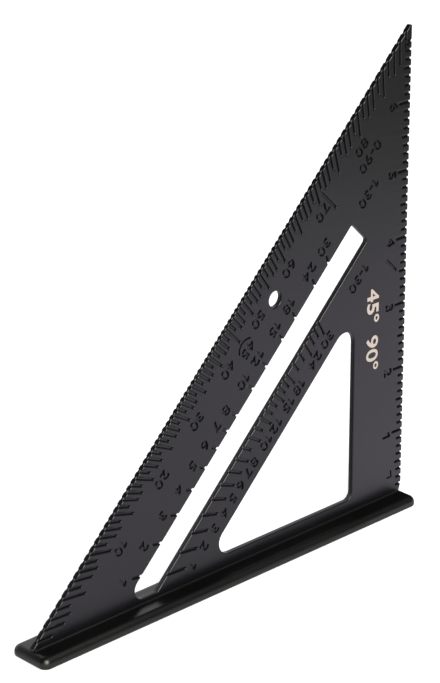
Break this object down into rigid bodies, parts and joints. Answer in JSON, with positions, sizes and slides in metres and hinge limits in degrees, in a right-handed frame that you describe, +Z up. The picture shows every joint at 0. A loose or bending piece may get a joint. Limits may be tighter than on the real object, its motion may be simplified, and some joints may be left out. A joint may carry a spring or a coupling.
{
  "type": "rafter square",
  "caption": "Triangular rafter square: a flat blade with recessed degree, inch and rafter scales, a pencil slot, a grip window and a hang hole, standing on a T-shaped fence.",
  "frame": {"origin": "on the fence's underside, midway along the fence and at the blade's mid-plane", "axes": "+X along the fence to the pivot corner, +Z up the upright edge, the graduated face looks along -Y"},
  "size_m": [0.183, 0.0176, 0.1842],
  "materials": {
    "fence_coat": "black semi-gloss coat on the light alloy of the fence",
    "blade_coat": "black satin coat on the light alloy of the blade"
  },
  "bodies": {
    "root": {"fence": "fence_coat", "blade": "blade_coat"}
  },
  "joints": []
}
